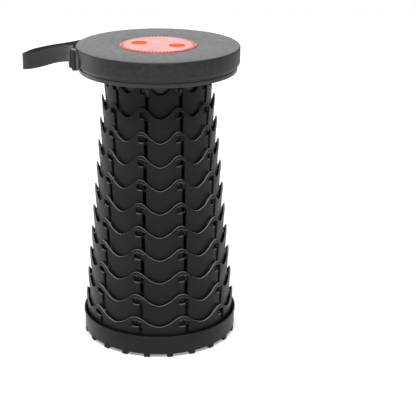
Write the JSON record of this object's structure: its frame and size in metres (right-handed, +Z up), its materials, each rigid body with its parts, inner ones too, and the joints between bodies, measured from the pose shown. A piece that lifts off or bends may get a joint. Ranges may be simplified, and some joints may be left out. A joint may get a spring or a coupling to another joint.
{
  "type": "telescoping camp stool",
  "caption": "Folding camp stool with a column of sliding wavy-edged rings, a round seat with a finger-hole cap, a treaded base tray and a webbing carry loop.",
  "frame": {"origin": "floor level at the centre of the base tray, on the column axis", "axes": "+Z up along the column, -Y the front, +X to the right of a viewer in front; the carry loop is on the -X side"},
  "size_m": [0.3274, 0.241, 0.4505],
  "materials": {
    "black_plastic": "fine satin texture",
    "seat_plastic": "matte, finely mottled",
    "orange_plastic": "satin",
    "black_webbing": "woven",
    "steel_pin": "plain"
  },
  "bodies": {
    "base": {"base_tray": "black_plastic", "base_ring": "black_plastic"},
    "stage_01": {"stage_ring_01": "black_plastic"},
    "stage_02": {"stage_ring_02": "black_plastic"},
    "stage_03": {"stage_ring_03": "black_plastic"},
    "stage_04": {"stage_ring_04": "black_plastic"},
    "stage_05": {"stage_ring_05": "black_plastic"},
    "stage_06": {"stage_ring_06": "black_plastic"},
    "stage_07": {"stage_ring_07": "black_plastic"},
    "stage_08": {"stage_ring_08": "black_plastic"},
    "stage_09": {"stage_ring_09": "black_plastic"},
    "stage_10": {"stage_ring_10": "black_plastic"},
    "seat": {"seat_neck": "black_plastic", "seat_shell": "seat_plastic", "seat_lip": "seat_plastic", "centre_cap": "orange_plastic", "finger_cup": "black_plastic", "strap_pin_front": "steel_pin", "strap_pin_back": "steel_pin", "carry_strap": "black_webbing"}
  },
  "joints": [
    {"name": "slide_01", "type": "slide", "parent": "base", "child": "stage_01", "axis": [0, 0, 1], "range_m": [-0.0348, 0]},
    {"name": "slide_02", "type": "slide", "parent": "stage_01", "child": "stage_02", "axis": [0, 0, 1], "range_m": [-0.0348, 0]},
    {"name": "slide_03", "type": "slide", "parent": "stage_02", "child": "stage_03", "axis": [0, 0, 1], "range_m": [-0.0348, 0]},
    {"name": "slide_04", "type": "slide", "parent": "stage_03", "child": "stage_04", "axis": [0, 0, 1], "range_m": [-0.0348, 0]},
    {"name": "slide_05", "type": "slide", "parent": "stage_04", "child": "stage_05", "axis": [0, 0, 1], "range_m": [-0.0348, 0]},
    {"name": "slide_06", "type": "slide", "parent": "stage_05", "child": "stage_06", "axis": [0, 0, 1], "range_m": [-0.0348, 0]},
    {"name": "slide_07", "type": "slide", "parent": "stage_06", "child": "stage_07", "axis": [0, 0, 1], "range_m": [-0.0348, 0]},
    {"name": "slide_08", "type": "slide", "parent": "stage_07", "child": "stage_08", "axis": [0, 0, 1], "range_m": [-0.0348, 0]},
    {"name": "slide_09", "type": "slide", "parent": "stage_08", "child": "stage_09", "axis": [0, 0, 1], "range_m": [-0.0348, 0]},
    {"name": "slide_10", "type": "slide", "parent": "stage_09", "child": "stage_10", "axis": [0, 0, 1], "range_m": [-0.0348, 0]},
    {"name": "slide_seat", "type": "slide", "parent": "stage_10", "child": "seat", "axis": [0, 0, 1], "range_m": [-0.0348, 0]}
  ]
}
